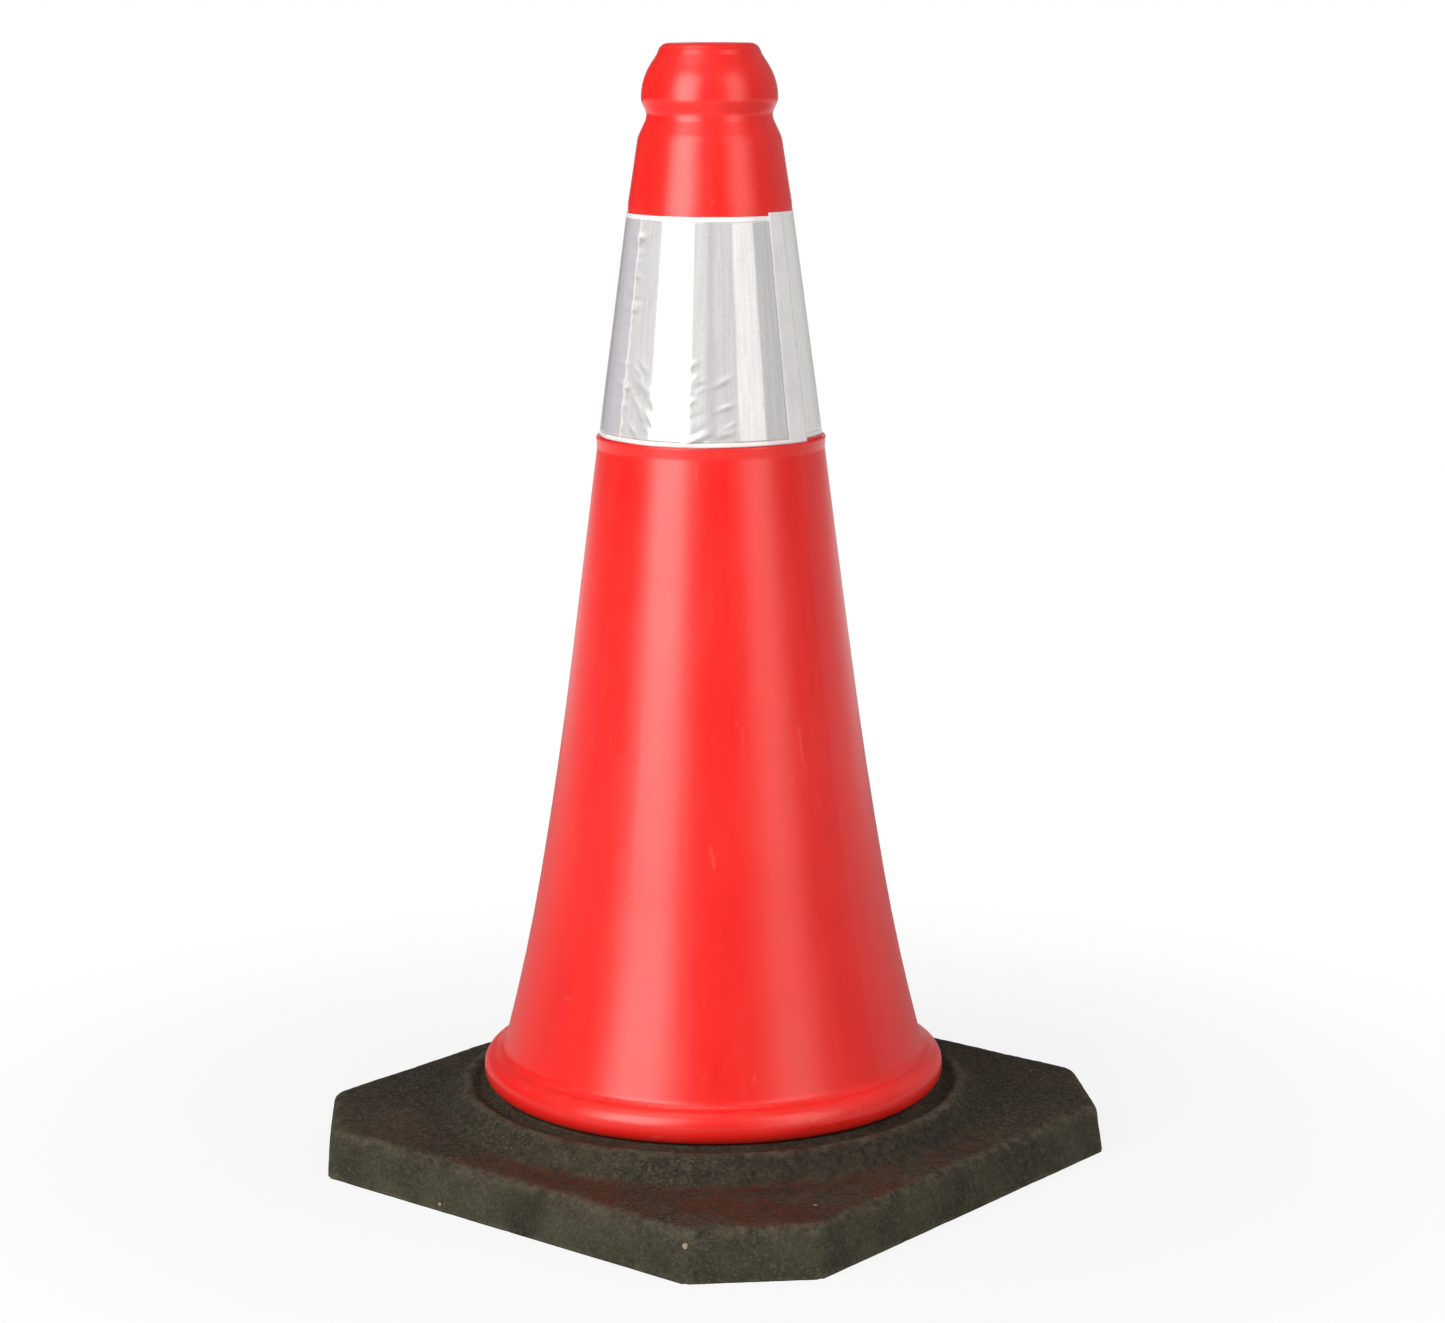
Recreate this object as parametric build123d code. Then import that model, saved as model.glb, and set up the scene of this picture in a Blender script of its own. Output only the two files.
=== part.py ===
"""Traffic cone: a hollow plastic body snapped into a heavy rubber base, with a slip-on sleeve.

The frame is +Z up, in millimetres. The origin is the centre of the base's underside, and the
straight sides of the base lie along X and Y. Every node is one solid: rubber_base, cone_body,
sleeve_backing and sleeve_film.
"""

import os
from math import isclose, radians, tan

from build123d import *

# Overall sizes
TOTAL_HEIGHT = 750.0
BASE_SIDE = 437.0  # across two opposite sides, at the underside

# Rubber base: plate
PLATE_HEIGHT = 34.0
CORNER_CUT = 62.5  # leg of the cut across each corner
PLATE_DRAFT = 8.0  # degrees that each side leans in towards the top
CORNER_ROUND = 14.0  # upright edges, at the underside
PLATE_EDGE_ROUND = 5.0  # edge between the plate's top and its sides

# Rubber base: raised collar that holds the foot of the cone
SEAT_HEIGHT = 50.0  # flat ring that carries the bead
SEAT_WIDTH = 11.0  # from the wall of the hole outwards
GUTTER_WIDTH = 14.5  # from the seat to the collar's rim
GUTTER_DEPTH = 3.0  # below the seat
RIM_RISE = 1.5  # of the collar's rim above the seat
RIM_ROUND = 2.0
COLLAR_SLOPE_WIDTH = 20.0  # from the rim down to the plate
COLLAR_FOOT_ROUND = 6.0
WEB_UNDERSIDE = 22.0  # height of the web that the cone's lower bead hooks under
RECESS_WIDTH = 16.0  # of the hollow under the web, from the wall of the hole outwards

# Cone body: wall and the hole in its top
WALL = 2.5
TOP_HOLE_RADIUS = 17.0

# Cone body: grip knob, with drops measured down from the top
LIP_RADIUS = 31.5
LIP_ROUND = 7.0
LIP_CREASE_RADIUS = 34.4
LIP_CREASE_DROP = 7.2
LIP_CREASE_ROUND = 1.2
KNOB_RADIUS = 44.95
KNOB_DOME_DROP = 23.2
KNOB_DOME_ROUND = 40.0
KNOB_UNDER_DROP = 37.1
KNOB_UNDER_ROUND = 8.0
GROOVE_RADIUS = 40.6
GROOVE_DROP = 46.4
GROOVE_ROUND = 8.0
SHOULDER_RADIUS = 47.3
SHOULDER_DROP = 60.8
SHOULDER_ROUND = 20.0

# Cone body: recess that the sleeve sits in
RECESS_TOP_RADIUS = 54.0
RECESS_BOTTOM_RADIUS = 73.45
SLEEVE_TOP_DROP = 110.0  # top edge of the sleeve below the top of the cone
SLEEVE_HEIGHT = 146.5
RECESS_LEAD = 6.0  # where the body above the recess reaches its width
RECESS_LEAD_ROUND = 30.0
LEDGE_WIDTH = 2.95  # step out below the recess, which the sleeve rests on
LEDGE_ROUND = 0.9
LEDGE_CORNER_ROUND = 0.3
LEDGE_RIB_HEIGHT = 7.5  # faint rib below the ledge
LEDGE_RIB_DEPTH = 0.65
LEDGE_RIB_ROUND = 8.0

# Cone body: neck in the base's hole
NECK_RADIUS = 141.0
NECK_ROUND = 2.0

# Cone body: lower cone and its flare, with radii less than the neck's, rises above the seat and
# reaches, which are how far each curve extends from the corner that it rounds
FLARE_START_INSET = 37.6
FLARE_START_RISE = 220.7
FLARE_START_REACH = 76.0
FLARE_FOOT_INSET = 14.1
FLARE_FOOT_RISE = 87.4
FLARE_FOOT_REACH = 57.0

# Cone body: rolled bead on the seat, with widths outside the neck and rises above the seat
CREASE_WIDTH = 2.7
CREASE_RISE = 23.5
CREASE_ROUND = 6.0
BEAD_WIDTH = 16.0
BEAD_TOP_RISE = 20.8
BEAD_ROUND = 10.4

# Cone body: hooked bead under the base's web, and its lead-in
HOOK_WIDTH = 5.5
HOOK_HEIGHT = 10.0
HOOK_ROUND = 3.4
HOOK_CORNER_ROUND = 1.5
LEAD_IN_WIDTH = 5.0
LEAD_IN_HEIGHT = 6.0
LEAD_IN_ROUND = 4.0

# Reflective sleeve: white backing sheet and the prismatic film welded to its face
BACKING_THICKNESS = 0.3
FILM_THICKNESS = 0.2
FILM_BORDER = 3.0  # bare backing above and below the film
LAP_START = -7.2  # degrees about Z, where the overlapping end of the sheet begins
LAP_ANGLE = 13.0
FILM_END_GAP = 0.4  # degrees between the film's ends and the overlap

# Clearances
NECK_CLEARANCE = 0.3  # radial, between the neck and the hole of the base
HOOK_CLEARANCE = 0.3  # between the hooked bead and the web above it
SLEEVE_CLEARANCE = 0.25  # radial, between the sleeve and the body

# Places worked out from the sizes above
HOLE_RADIUS = NECK_RADIUS + NECK_CLEARANCE
SLEEVE_TOP = TOTAL_HEIGHT - SLEEVE_TOP_DROP
SLEEVE_BOTTOM = SLEEVE_TOP - SLEEVE_HEIGHT
SLEEVE_INNER_TOP = RECESS_TOP_RADIUS + SLEEVE_CLEARANCE
SLEEVE_INNER_BOTTOM = RECESS_BOTTOM_RADIUS + SLEEVE_CLEARANCE


def turned(outline, degrees=360.0, start=0.0):
    """Turn a closed outline of (radius, height) about Z, from the angle start."""
    return Rot(0, 0, start) * revolve(Plane.XZ * outline, Axis.Z, revolution_arc=degrees)


def reaching_round(before, corner, after, reach):
    """Radius of the arc that rounds a corner and extends a given reach along both its sides."""
    turn = (Vector(corner) - Vector(before)).get_angle(Vector(after) - Vector(corner))
    return reach / tan(radians(turn) / 2)


def body_outline():
    """Outer line of the cone body, from the hole in its top to the lead-in of its foot."""
    ledge_radius = RECESS_BOTTOM_RADIUS + LEDGE_WIDTH
    ledge_rib = (ledge_radius - LEDGE_RIB_DEPTH, SLEEVE_BOTTOM - LEDGE_RIB_HEIGHT)
    flare_start = (NECK_RADIUS - FLARE_START_INSET, SEAT_HEIGHT + FLARE_START_RISE)
    flare_foot = (NECK_RADIUS - FLARE_FOOT_INSET, SEAT_HEIGHT + FLARE_FOOT_RISE)
    crease = (NECK_RADIUS + CREASE_WIDTH, SEAT_HEIGHT + CREASE_RISE)
    flare_start_round = reaching_round(ledge_rib, flare_start, flare_foot, FLARE_START_REACH)
    flare_foot_round = reaching_round(flare_start, flare_foot, crease, FLARE_FOOT_REACH)
    bead_radius = NECK_RADIUS + BEAD_WIDTH
    hook_top = WEB_UNDERSIDE - HOOK_CLEARANCE
    hook_bottom = hook_top - HOOK_HEIGHT
    hook_radius = NECK_RADIUS + HOOK_WIDTH
    corners = [
        (TOP_HOLE_RADIUS, TOTAL_HEIGHT, None),
        (LIP_RADIUS, TOTAL_HEIGHT, LIP_ROUND),
        (LIP_CREASE_RADIUS, TOTAL_HEIGHT - LIP_CREASE_DROP, LIP_CREASE_ROUND),
        (KNOB_RADIUS, TOTAL_HEIGHT - KNOB_DOME_DROP, KNOB_DOME_ROUND),
        (KNOB_RADIUS, TOTAL_HEIGHT - KNOB_UNDER_DROP, KNOB_UNDER_ROUND),
        (GROOVE_RADIUS, TOTAL_HEIGHT - GROOVE_DROP, GROOVE_ROUND),
        (SHOULDER_RADIUS, TOTAL_HEIGHT - SHOULDER_DROP, SHOULDER_ROUND),
        (RECESS_TOP_RADIUS, SLEEVE_TOP + RECESS_LEAD, RECESS_LEAD_ROUND),
        (RECESS_TOP_RADIUS, SLEEVE_TOP, RECESS_LEAD_ROUND),
        (RECESS_BOTTOM_RADIUS, SLEEVE_BOTTOM, LEDGE_CORNER_ROUND),
        (ledge_radius, SLEEVE_BOTTOM, LEDGE_ROUND),
        (*ledge_rib, LEDGE_RIB_ROUND),
        (*flare_start, flare_start_round),
        (*flare_foot, flare_foot_round),
        (*crease, CREASE_ROUND),
        (bead_radius, SEAT_HEIGHT + BEAD_TOP_RISE, BEAD_ROUND),
        (bead_radius, SEAT_HEIGHT, BEAD_ROUND),
        (NECK_RADIUS, SEAT_HEIGHT, NECK_ROUND),
        (NECK_RADIUS, hook_top, HOOK_CORNER_ROUND),
        (hook_radius, hook_top, HOOK_ROUND),
        (hook_radius, hook_bottom, LEAD_IN_ROUND),
        (hook_radius - LEAD_IN_WIDTH, hook_bottom - LEAD_IN_HEIGHT, None),
    ]
    points = [(radius, height) for radius, height, _ in corners]
    rounds = [rounding for _, _, rounding in corners[1:-1]]
    return FilletPolyline(*points, radius=rounds)


def cone_body():
    """Hollow body of even wall: knob, recess, cone, flare, bead, neck and hooked bead."""
    wall_outline = offset(body_outline(), amount=WALL, side=Side.RIGHT)
    return turned(make_face(wall_outline))


def base_plate():
    """Square plate with cut and rounded corners, sides leaning in and a rounded top edge."""
    square = Rectangle(BASE_SIDE, BASE_SIDE)
    octagon = chamfer(square.vertices(), CORNER_CUT)
    footprint = fillet(octagon.vertices(), CORNER_ROUND)
    plate = extrude(footprint, amount=PLATE_HEIGHT, taper=PLATE_DRAFT)
    return fillet(plate.faces().sort_by(Axis.Z)[-1].edges(), PLATE_EDGE_ROUND)


def collar():
    """Raised ring: seat for the bead, gutter round it, rim, and slope down to the plate."""
    seat_edge = HOLE_RADIUS + SEAT_WIDTH
    rim_radius = seat_edge + GUTTER_WIDTH
    gutter_middle = (seat_edge + GUTTER_WIDTH / 2, SEAT_HEIGHT - GUTTER_DEPTH)
    rim = (rim_radius, SEAT_HEIGHT + RIM_RISE)
    rim_outer = (rim_radius + 2 * RIM_ROUND, SEAT_HEIGHT + RIM_RISE)
    foot = (rim_outer[0] + COLLAR_SLOPE_WIDTH - 2 * RIM_ROUND, PLATE_HEIGHT)
    seat = Line((HOLE_RADIUS, SEAT_HEIGHT), (seat_edge, SEAT_HEIGHT))
    gutter = ThreePointArc((seat_edge, SEAT_HEIGHT), gutter_middle, rim)
    slope = FilletPolyline(rim, rim_outer, foot, radius=RIM_ROUND)
    web_outer = (foot[0], WEB_UNDERSIDE)
    web_inner = (HOLE_RADIUS, WEB_UNDERSIDE)
    under = Polyline(foot, web_outer, web_inner, (HOLE_RADIUS, SEAT_HEIGHT))
    return turned(make_face(Curve() + [seat, gutter, slope, under]))


def ring_edges(solid, radius, height):
    """The solid's circular edges of one radius about Z, at one height."""
    rings = [edge for edge in solid.edges().filter_by(GeomType.CIRCLE) if isclose(edge.radius, radius)]
    return [edge for edge in rings if isclose(edge.arc_center.Z, height)]


def rubber_base():
    """Plate and collar in one, with the hole for the neck and the hollow under the web."""
    foot_radius = HOLE_RADIUS + SEAT_WIDTH + GUTTER_WIDTH + COLLAR_SLOPE_WIDTH
    solid = base_plate() + collar()
    solid = fillet(ring_edges(solid, foot_radius, PLATE_HEIGHT), COLLAR_FOOT_ROUND)
    hole = Cylinder(HOLE_RADIUS, TOTAL_HEIGHT)
    upright = (Align.CENTER, Align.CENTER, Align.MIN)
    recess = Cylinder(HOLE_RADIUS + RECESS_WIDTH, WEB_UNDERSIDE, align=upright)
    solid = solid - hole - recess
    solid = fillet(ring_edges(solid, HOLE_RADIUS, SEAT_HEIGHT), NECK_ROUND + NECK_CLEARANCE)
    return fillet(ring_edges(solid, HOLE_RADIUS, WEB_UNDERSIDE), HOOK_CORNER_ROUND + HOOK_CLEARANCE)


def sleeve_layer(depth, thickness, border=0.0):
    """Outline of one layer of the sleeve, a depth outside its inner face.

    It stops short of the sleeve's top and bottom by border.
    """
    lean = (SLEEVE_INNER_BOTTOM - SLEEVE_INNER_TOP) / SLEEVE_HEIGHT
    top = (SLEEVE_INNER_TOP + depth + lean * border, SLEEVE_TOP - border)
    bottom = (SLEEVE_INNER_BOTTOM + depth - lean * border, SLEEVE_BOTTOM + border)
    outer_top = (top[0] + thickness, top[1])
    outer_bottom = (bottom[0] + thickness, bottom[1])
    return make_face(Polyline(top, outer_top, outer_bottom, bottom, close=True))


def sleeve_backing():
    """White sheet bent into a cone, with its overlapping end welded on top."""
    sheet = turned(sleeve_layer(0.0, BACKING_THICKNESS))
    lap = turned(sleeve_layer(BACKING_THICKNESS, BACKING_THICKNESS), LAP_ANGLE, LAP_START)
    return sheet + lap


def sleeve_film():
    """Prismatic film round the backing, from one side of the overlap to the other."""
    outline = sleeve_layer(BACKING_THICKNESS, FILM_THICKNESS, FILM_BORDER)
    start = LAP_START + LAP_ANGLE + FILM_END_GAP
    return turned(outline, 360.0 - LAP_ANGLE - 2 * FILM_END_GAP, start)


NODES = {
    "rubber_base": rubber_base,
    "cone_body": cone_body,
    "sleeve_backing": sleeve_backing,
    "sleeve_film": sleeve_film,
}

os.makedirs("parts", exist_ok=True)
for node, build in NODES.items():
    shape = build()
    print(node, len(shape.solids()), "solid", round(shape.volume), "mm3")
    export_step(shape, f"parts/{node}.step")
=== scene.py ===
"""Traffic cone in Blender: finishes, weathered rubber base and welded reflective sleeve.

Everything is in metres, in the frame of the CAD model: +Z up, origin at the centre of the base's
underside. Angles about Z are in degrees from +X, and FRONT is the corner of the base that the
main view looks at.
"""

import logging
import math
from dataclasses import dataclass
from enum import Enum

import bpy
import numpy as np
from mathutils import Matrix, Vector, noise


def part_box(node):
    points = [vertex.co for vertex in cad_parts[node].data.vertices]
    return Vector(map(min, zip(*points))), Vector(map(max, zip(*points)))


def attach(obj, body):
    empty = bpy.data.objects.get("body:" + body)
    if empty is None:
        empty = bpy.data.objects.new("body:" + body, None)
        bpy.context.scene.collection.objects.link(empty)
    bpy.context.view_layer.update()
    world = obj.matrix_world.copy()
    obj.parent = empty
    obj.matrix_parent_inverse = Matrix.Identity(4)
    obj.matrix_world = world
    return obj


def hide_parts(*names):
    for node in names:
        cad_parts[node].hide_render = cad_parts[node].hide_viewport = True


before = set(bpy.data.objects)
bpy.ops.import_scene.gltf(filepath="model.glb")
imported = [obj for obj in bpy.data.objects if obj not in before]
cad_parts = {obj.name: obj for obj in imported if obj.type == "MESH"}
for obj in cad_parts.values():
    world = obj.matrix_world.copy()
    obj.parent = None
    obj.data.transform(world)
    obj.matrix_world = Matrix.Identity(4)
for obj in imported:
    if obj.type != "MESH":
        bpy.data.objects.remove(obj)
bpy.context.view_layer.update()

LOG = logging.getLogger("traffic_cone")
MM = 0.001
FRONT = -50.2
TOUCH = 0.02 * MM
FULL_TURN = 360.0
HALF_TURN = 180.0

Colour = tuple[float, float, float, float]
Span = tuple[float, float]
Input = float | tuple | bpy.types.NodeSocket


class Body(Enum):
    """The rigid bodies that pieces ride on."""

    CONE = "cone"
    SLEEVE = "sleeve"


class Slot(Enum):
    """The material slots of the record."""

    PLASTIC = "cone_plastic"
    RUBBER = "recycled_rubber"
    SHEET = "white_sheet"
    FILM = "prismatic_film"


class Node(Enum):
    """The CAD nodes."""

    CONE_BODY = "cone_body"
    RUBBER_BASE = "rubber_base"
    BACKING = "sleeve_backing"
    FILM = "sleeve_film"


# ---------------------------------------------------------------- small helpers


def srgb(red: int, green: int, blue: int) -> Colour:
    """Linear colour of an 8-bit display colour."""
    parts = (value / 255.0 for value in (red, green, blue))
    linear = [p / 12.92 if p <= 0.04045 else ((p + 0.055) / 1.055) ** 2.4 for p in parts]
    return (*linear, 1.0)


def smooth_step(low: float, high: float, value: np.ndarray) -> np.ndarray:
    """Ease from 0 to 1 as value goes from low to high."""
    t = np.clip((value - low) / (high - low), 0.0, 1.0)
    return t * t * (3.0 - 2.0 * t)


def node_points(node: Node) -> np.ndarray:
    """Vertices of a CAD node at rest, one row each."""
    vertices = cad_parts[node.value].data.vertices
    points = np.empty(len(vertices) * 3)
    vertices.foreach_get("co", points)
    return points.reshape(-1, 3)


def rim_radius(node: Node, top: bool) -> float:
    """Inner radius about Z of a node's top or bottom edge.

    Args:
        node: the CAD node, a shell round Z.
        top: True for its top edge, False for its bottom edge.

    Returns:
        The smallest radius among the vertices at that edge.
    """
    points = node_points(node)
    level = points[:, 2].max() if top else points[:, 2].min()
    edge = points[np.abs(points[:, 2] - level) < TOUCH]
    return float(radius_of(edge).min())


def radius_of(points: np.ndarray) -> np.ndarray:
    """Distance of each point from Z."""
    return np.hypot(points[:, 0], points[:, 1])


def within_half_turn(angle: np.ndarray) -> np.ndarray:
    """The same angles, from -180 to 180."""
    return (angle + HALF_TURN) % FULL_TURN - HALF_TURN


def studio_place(bearing: float, distance: float, height: float) -> Vector:
    """A point round the object.

    Args:
        bearing: degrees from the main view's direction, to the right.
        distance: from the axis, level.
        height: above the ground.

    Returns:
        The point.
    """
    polar = math.radians(FRONT + bearing)
    return Vector((distance * math.cos(polar), distance * math.sin(polar), height))


def noise_at(points: np.ndarray, size: float, shift: float = 0.0) -> np.ndarray:
    """Smooth noise from -1 to 1 at each point.

    Args:
        points: one row per point, in metres.
        size: distance over which the noise changes, in metres.
        shift: moves the pattern, so that two layers differ.

    Returns:
        One value per point.
    """
    offset = Vector((shift, shift, shift))
    return np.array([noise.noise(Vector(point) + offset) for point in points / size])


def link_mesh(name: str, vertices: np.ndarray, faces: np.ndarray) -> bpy.types.Object:
    """New smooth-shaded mesh object in the scene."""
    mesh = bpy.data.meshes.new(name)
    mesh.from_pydata(vertices.tolist(), [], faces.tolist())
    mesh.shade_smooth()
    mesh.update()
    piece = bpy.data.objects.new(name, mesh)
    bpy.context.scene.collection.objects.link(piece)
    return piece


def dress(piece: bpy.types.Object, material: bpy.types.Material) -> None:
    """Give a piece one material."""
    piece.data.materials.clear()
    piece.data.materials.append(material)


def report_piece(piece: bpy.types.Object, body: Body) -> None:
    """Log one finished piece."""
    LOG.info("%s: %d faces, rides on %s", piece.name, len(piece.data.polygons), body.value)


# ---------------------------------------------------------------- shader trees


class Tree:
    """Lays out a shader node tree in few words."""

    def __init__(self, tree: bpy.types.NodeTree) -> None:
        """Start from an empty tree."""
        self.tree = tree
        tree.nodes.clear()

    def add(self, kind: str, inputs: dict | None = None, **settings: object) -> bpy.types.Node:
        """Add a node.

        Args:
            kind: the node's type, without the ShaderNode prefix.
            inputs: values or sockets to link, by input name or number.
            settings: properties of the node.

        Returns:
            The new node.
        """
        node = self.tree.nodes.new("ShaderNode" + kind)
        for name, value in settings.items():
            setattr(node, name, value)
        for key, value in (inputs or {}).items():
            self.put(node.inputs[key], value)
        return node

    def put(self, socket: bpy.types.NodeSocket, value: Input) -> None:
        """Link a socket to an input, or set the input's own value."""
        if isinstance(value, bpy.types.NodeSocket):
            self.tree.links.new(value, socket)
        else:
            socket.default_value = value

    def math(self, operation: str, a: Input, b: Input = 0.0, clamp: bool = False) -> bpy.types.NodeSocket:
        """Result of one math operation.

        Args:
            operation: its name in the Math node.
            a: first value.
            b: second value, where there is one.
            clamp: True to keep the result from 0 to 1.

        Returns:
            The result.
        """
        return self.add("Math", {0: a, 1: b}, operation=operation, use_clamp=clamp).outputs[0]

    def times(self, a: Input, b: Input, clamp: bool = False) -> bpy.types.NodeSocket:
        """Product of two values."""
        return self.math("MULTIPLY", a, b, clamp)

    def plus(self, a: Input, b: Input) -> bpy.types.NodeSocket:
        """Sum of two values."""
        return self.math("ADD", a, b)

    def ramp(self, value: Input, low: float, high: float, out_low: float = 0.0,
             out_high: float = 1.0) -> bpy.types.NodeSocket:
        """Value eased from one range into another.

        Args:
            value: what is eased.
            low: where it starts.
            high: where it ends.
            out_low: result at low and before.
            out_high: result at high and after.

        Returns:
            The result.
        """
        inputs = {0: value, 1: low, 2: high, 3: out_low, 4: out_high}
        return self.add("MapRange", inputs, interpolation_type="SMOOTHSTEP").outputs[0]

    def mix(self, factor: Input, a: Input, b: Input) -> bpy.types.NodeSocket:
        """Colour between a and b."""
        node = self.add("Mix", data_type="RGBA")
        for key, value in (("Factor", factor), ("A", a), ("B", b)):
            socket = next(s for s in node.inputs if s.name == key and s.enabled)
            self.put(socket, value)
        return next(s for s in node.outputs if s.enabled)

    def noise(self, vector: Input, scale: Input, detail: float = 3.0,
              roughness: float = 0.55) -> bpy.types.NodeSocket:
        """Fractal noise value at a place."""
        inputs = {"Vector": vector, "Scale": scale, "Detail": detail, "Roughness": roughness}
        return self.add("TexNoise", inputs).outputs[0]

    def place(self) -> bpy.types.NodeSocket:
        """The point on the piece, in metres in the CAD frame."""
        return self.add("TexCoord").outputs["Object"]

    def group(self, tree: bpy.types.NodeTree, inputs: dict | None = None) -> bpy.types.Node:
        """Place a node group with its own input values."""
        node = self.tree.nodes.new("ShaderNodeGroup")
        node.node_tree = tree
        for key, value in (inputs or {}).items():
            self.put(node.inputs[key], value)
        return node


def new_group(name: str, inputs: dict[str, float], outputs: tuple[str, ...]
              ) -> tuple[Tree, bpy.types.Node, bpy.types.Node]:
    """Start a node group with named number sockets.

    Args:
        name: the group's name.
        inputs: the default of each input, by name.
        outputs: the names of the outputs.

    Returns:
        The tree, its input node and its output node.
    """
    group = bpy.data.node_groups.new(name, "ShaderNodeTree")
    for label, default in inputs.items():
        socket = group.interface.new_socket(name=label, in_out="INPUT", socket_type="NodeSocketFloat")
        socket.default_value = default
    for label in outputs:
        group.interface.new_socket(name=label, in_out="OUTPUT", socket_type="NodeSocketFloat")
    tree = Tree(group)
    return tree, group.nodes.new("NodeGroupInput"), group.nodes.new("NodeGroupOutput")


class Effects:
    """Surface effects that several finishes share, each a node group built once."""

    def __init__(self) -> None:
        """Build every group."""
        self.grain = self._grain()
        self.dust = self._dust()
        self.edge_wear = self._edge_wear()
        self.marks = self._marks()
        self.streaks = self._streaks()

    @staticmethod
    def _grain() -> bpy.types.NodeTree:
        """Fine relief: soft noise mixed with rounded cells."""
        names = {"Scale": 900.0, "Cell Scale": 700.0, "Cell Share": 0.3}
        tree, source, sink = new_group("surface_grain", names, ("Height", "Cell"))
        place = tree.place()
        soft = tree.noise(place, source.outputs["Scale"], 4.0, 0.5)
        cells = tree.add("TexVoronoi", {"Vector": place, "Scale": source.outputs["Cell Scale"]})
        dome = tree.math("SUBTRACT", 1.0, cells.outputs["Distance"], clamp=True)
        share = source.outputs["Cell Share"]
        rest = tree.math("SUBTRACT", 1.0, share)
        height = tree.plus(tree.times(soft, rest), tree.times(dome, share))
        tree.put(sink.inputs["Height"], height)
        level = tree.add("SeparateColor", {0: cells.outputs["Color"]}).outputs[0]
        tree.put(sink.inputs["Cell"], level)
        return tree.tree

    @staticmethod
    def _dust() -> bpy.types.NodeTree:
        """Dust that settles on faces that look up, broken into patches."""
        names = {"Amount": 0.5, "Patch Scale": 14.0, "Fine Scale": 160.0}
        tree, source, sink = new_group("settled_dust", names, ("Mask",))
        place = tree.place()
        normal = tree.add("SeparateXYZ", {0: tree.add("NewGeometry").outputs["Normal"]}).outputs["Z"]
        upward = tree.ramp(normal, 0.05, 0.85)
        patches = tree.noise(place, source.outputs["Patch Scale"], 5.0, 0.5)
        fine = tree.noise(place, source.outputs["Fine Scale"], 3.0, 0.5)
        broken = tree.times(tree.ramp(patches, 0.38, 0.64), tree.ramp(fine, 0.3, 0.7))
        mask = tree.times(tree.times(broken, upward), source.outputs["Amount"], clamp=True)
        tree.put(sink.inputs["Mask"], mask)
        return tree.tree

    @staticmethod
    def _edge_wear() -> bpy.types.NodeTree:
        """Rubbed convex edges, uneven along their length."""
        names = {"Start": 0.505, "End": 0.53, "Break Scale": 90.0, "Amount": 1.0}
        tree, source, sink = new_group("edge_wear", names, ("Mask",))
        point = tree.add("NewGeometry").outputs["Pointiness"]
        inputs = {0: point, 1: source.outputs["Start"], 2: source.outputs["End"]}
        edge = tree.add("MapRange", inputs, interpolation_type="SMOOTHSTEP").outputs[0]
        broken = tree.noise(tree.place(), source.outputs["Break Scale"], 4.0, 0.5)
        rubbed = tree.times(edge, tree.ramp(broken, 0.3, 0.62))
        mask = tree.times(rubbed, source.outputs["Amount"], clamp=True)
        tree.put(sink.inputs["Mask"], mask)
        return tree.tree

    @staticmethod
    def _marks() -> bpy.types.NodeTree:
        """Short thin handling marks in two directions."""
        names = {"Scale": 26.0, "Threshold": 0.69}
        tree, source, sink = new_group("handling_marks", names, ("Mask",))
        place = tree.place()
        masks = []
        for turn, squeeze in ((0.5, (9.0, 9.0, 0.8)), (1.9, (1.2, 10.0, 7.0))):
            mapped = tree.add("Mapping", {"Vector": place, "Rotation": (turn, 0.4 * turn, turn),
                                          "Scale": squeeze}).outputs[0]
            value = tree.noise(mapped, source.outputs["Scale"], 2.0, 0.5)
            over = tree.math("SUBTRACT", value, source.outputs["Threshold"])
            masks.append(tree.times(over, 14.0, clamp=True))
        tree.put(sink.inputs["Mask"], tree.math("MAXIMUM", *masks))
        return tree.tree

    @staticmethod
    def _streaks() -> bpy.types.NodeTree:
        """Faint streaks that run up and down round Z."""
        names = {"Count": 60.0, "Stretch": 3.0}
        tree, source, sink = new_group("upright_streaks", names, ("Value",))
        x, y, z = tree.add("SeparateXYZ", {0: tree.place()}).outputs
        radius = tree.math("SQRT", tree.plus(tree.times(x, x), tree.times(y, y)))
        inputs = {0: tree.math("DIVIDE", x, radius), 1: tree.math("DIVIDE", y, radius),
                  2: tree.times(z, source.outputs["Stretch"])}
        round_axis = tree.add("CombineXYZ", inputs).outputs[0]
        scale = tree.math("DIVIDE", source.outputs["Count"], math.tau)
        tree.put(sink.inputs["Value"], tree.noise(round_axis, scale, 3.0, 0.5))
        return tree.tree


def new_material(name: str) -> tuple[bpy.types.Material, Tree, bpy.types.Node]:
    """Start a material with a Principled shader.

    Args:
        name: the material's name.

    Returns:
        The material, its tree and its shader.
    """
    material = bpy.data.materials.new(name)
    material.use_nodes = True
    tree = Tree(material.node_tree)
    shader = tree.add("BsdfPrincipled")
    sink = tree.add("OutputMaterial")
    tree.put(sink.inputs["Surface"], shader.outputs[0])
    return material, tree, shader


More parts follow.
